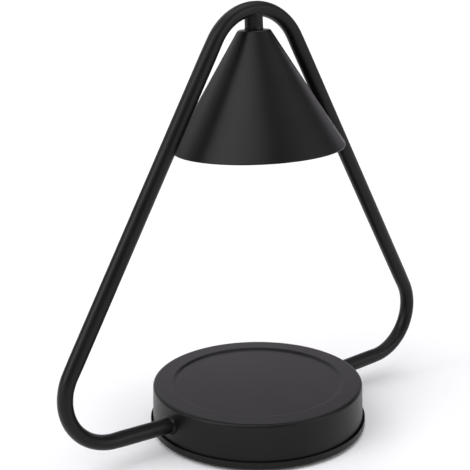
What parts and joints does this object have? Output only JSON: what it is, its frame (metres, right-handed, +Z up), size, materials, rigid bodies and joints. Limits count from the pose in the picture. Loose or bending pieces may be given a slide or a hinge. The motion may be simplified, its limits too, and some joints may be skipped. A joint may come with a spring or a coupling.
{
  "type": "candle warmer lamp",
  "caption": "Halogen lamp that warms a jar candle from above: round base with a candle seat, bent tube frame and a cone shade over a twist-lock reflector bulb.",
  "frame": {"origin": "middle of the base, on the plane that the feet stand on", "axes": "+Z up through the base and the shade, +X along the plane of the tube frame, +Y to the rear, where the cord inlet is"},
  "size_m": [0.292, 0.1432, 0.2755],
  "materials": {
    "black_coat": "satin powder coat",
    "zinc_steel": "bright zinc plated",
    "brass": "bright",
    "foot_rubber": "matte",
    "black_nylon": "matte",
    "white_nylon": "matte",
    "lead_insulation": "satin silicone",
    "holder_ceramic": "unglazed",
    "pin_metal": "nickel plated",
    "reflector_glass": "dichroic coated glass",
    "clear_glass": "clear",
    "tungsten": "bare"
  },
  "bodies": {
    "root": {"base_cap": "black_coat", "base_tray": "black_coat", "base_bridge": "zinc_steel", "tray_screws": "zinc_steel", "foot_pads": "foot_rubber", "cord_bushing": "black_nylon", "bushing_nut": "black_nylon", "frame_tube": "black_coat", "tube_collars": "black_coat", "tube_washers": "zinc_steel", "tube_locknuts": "zinc_steel", "tube_end_bush": "black_nylon", "stem_boss": "black_coat", "terminal_block": "white_nylon", "terminal_clamps": "brass", "terminal_screws": "zinc_steel", "block_screw": "zinc_steel", "lamp_leads": "lead_insulation", "stem_nipple": "zinc_steel", "shade": "black_coat", "shade_washer": "zinc_steel", "shade_locknut": "zinc_steel", "holder_bracket": "zinc_steel", "holder_screws": "zinc_steel", "lamp_holder_body": "holder_ceramic", "holder_contacts": "brass"},
    "bulb": {"bulb_pins": "pin_metal", "bulb_base": "holder_ceramic", "bulb_reflector": "reflector_glass", "bulb_lens": "clear_glass", "bulb_capsule": "clear_glass", "bulb_filament": "tungsten"}
  },
  "joints": [
    {"name": "bulb_twist", "type": "hinge", "parent": "root", "child": "bulb", "pos_m": [0, 0, 0.231], "axis": [0, 0, -1], "range_deg": [0, 35]}
  ]
}
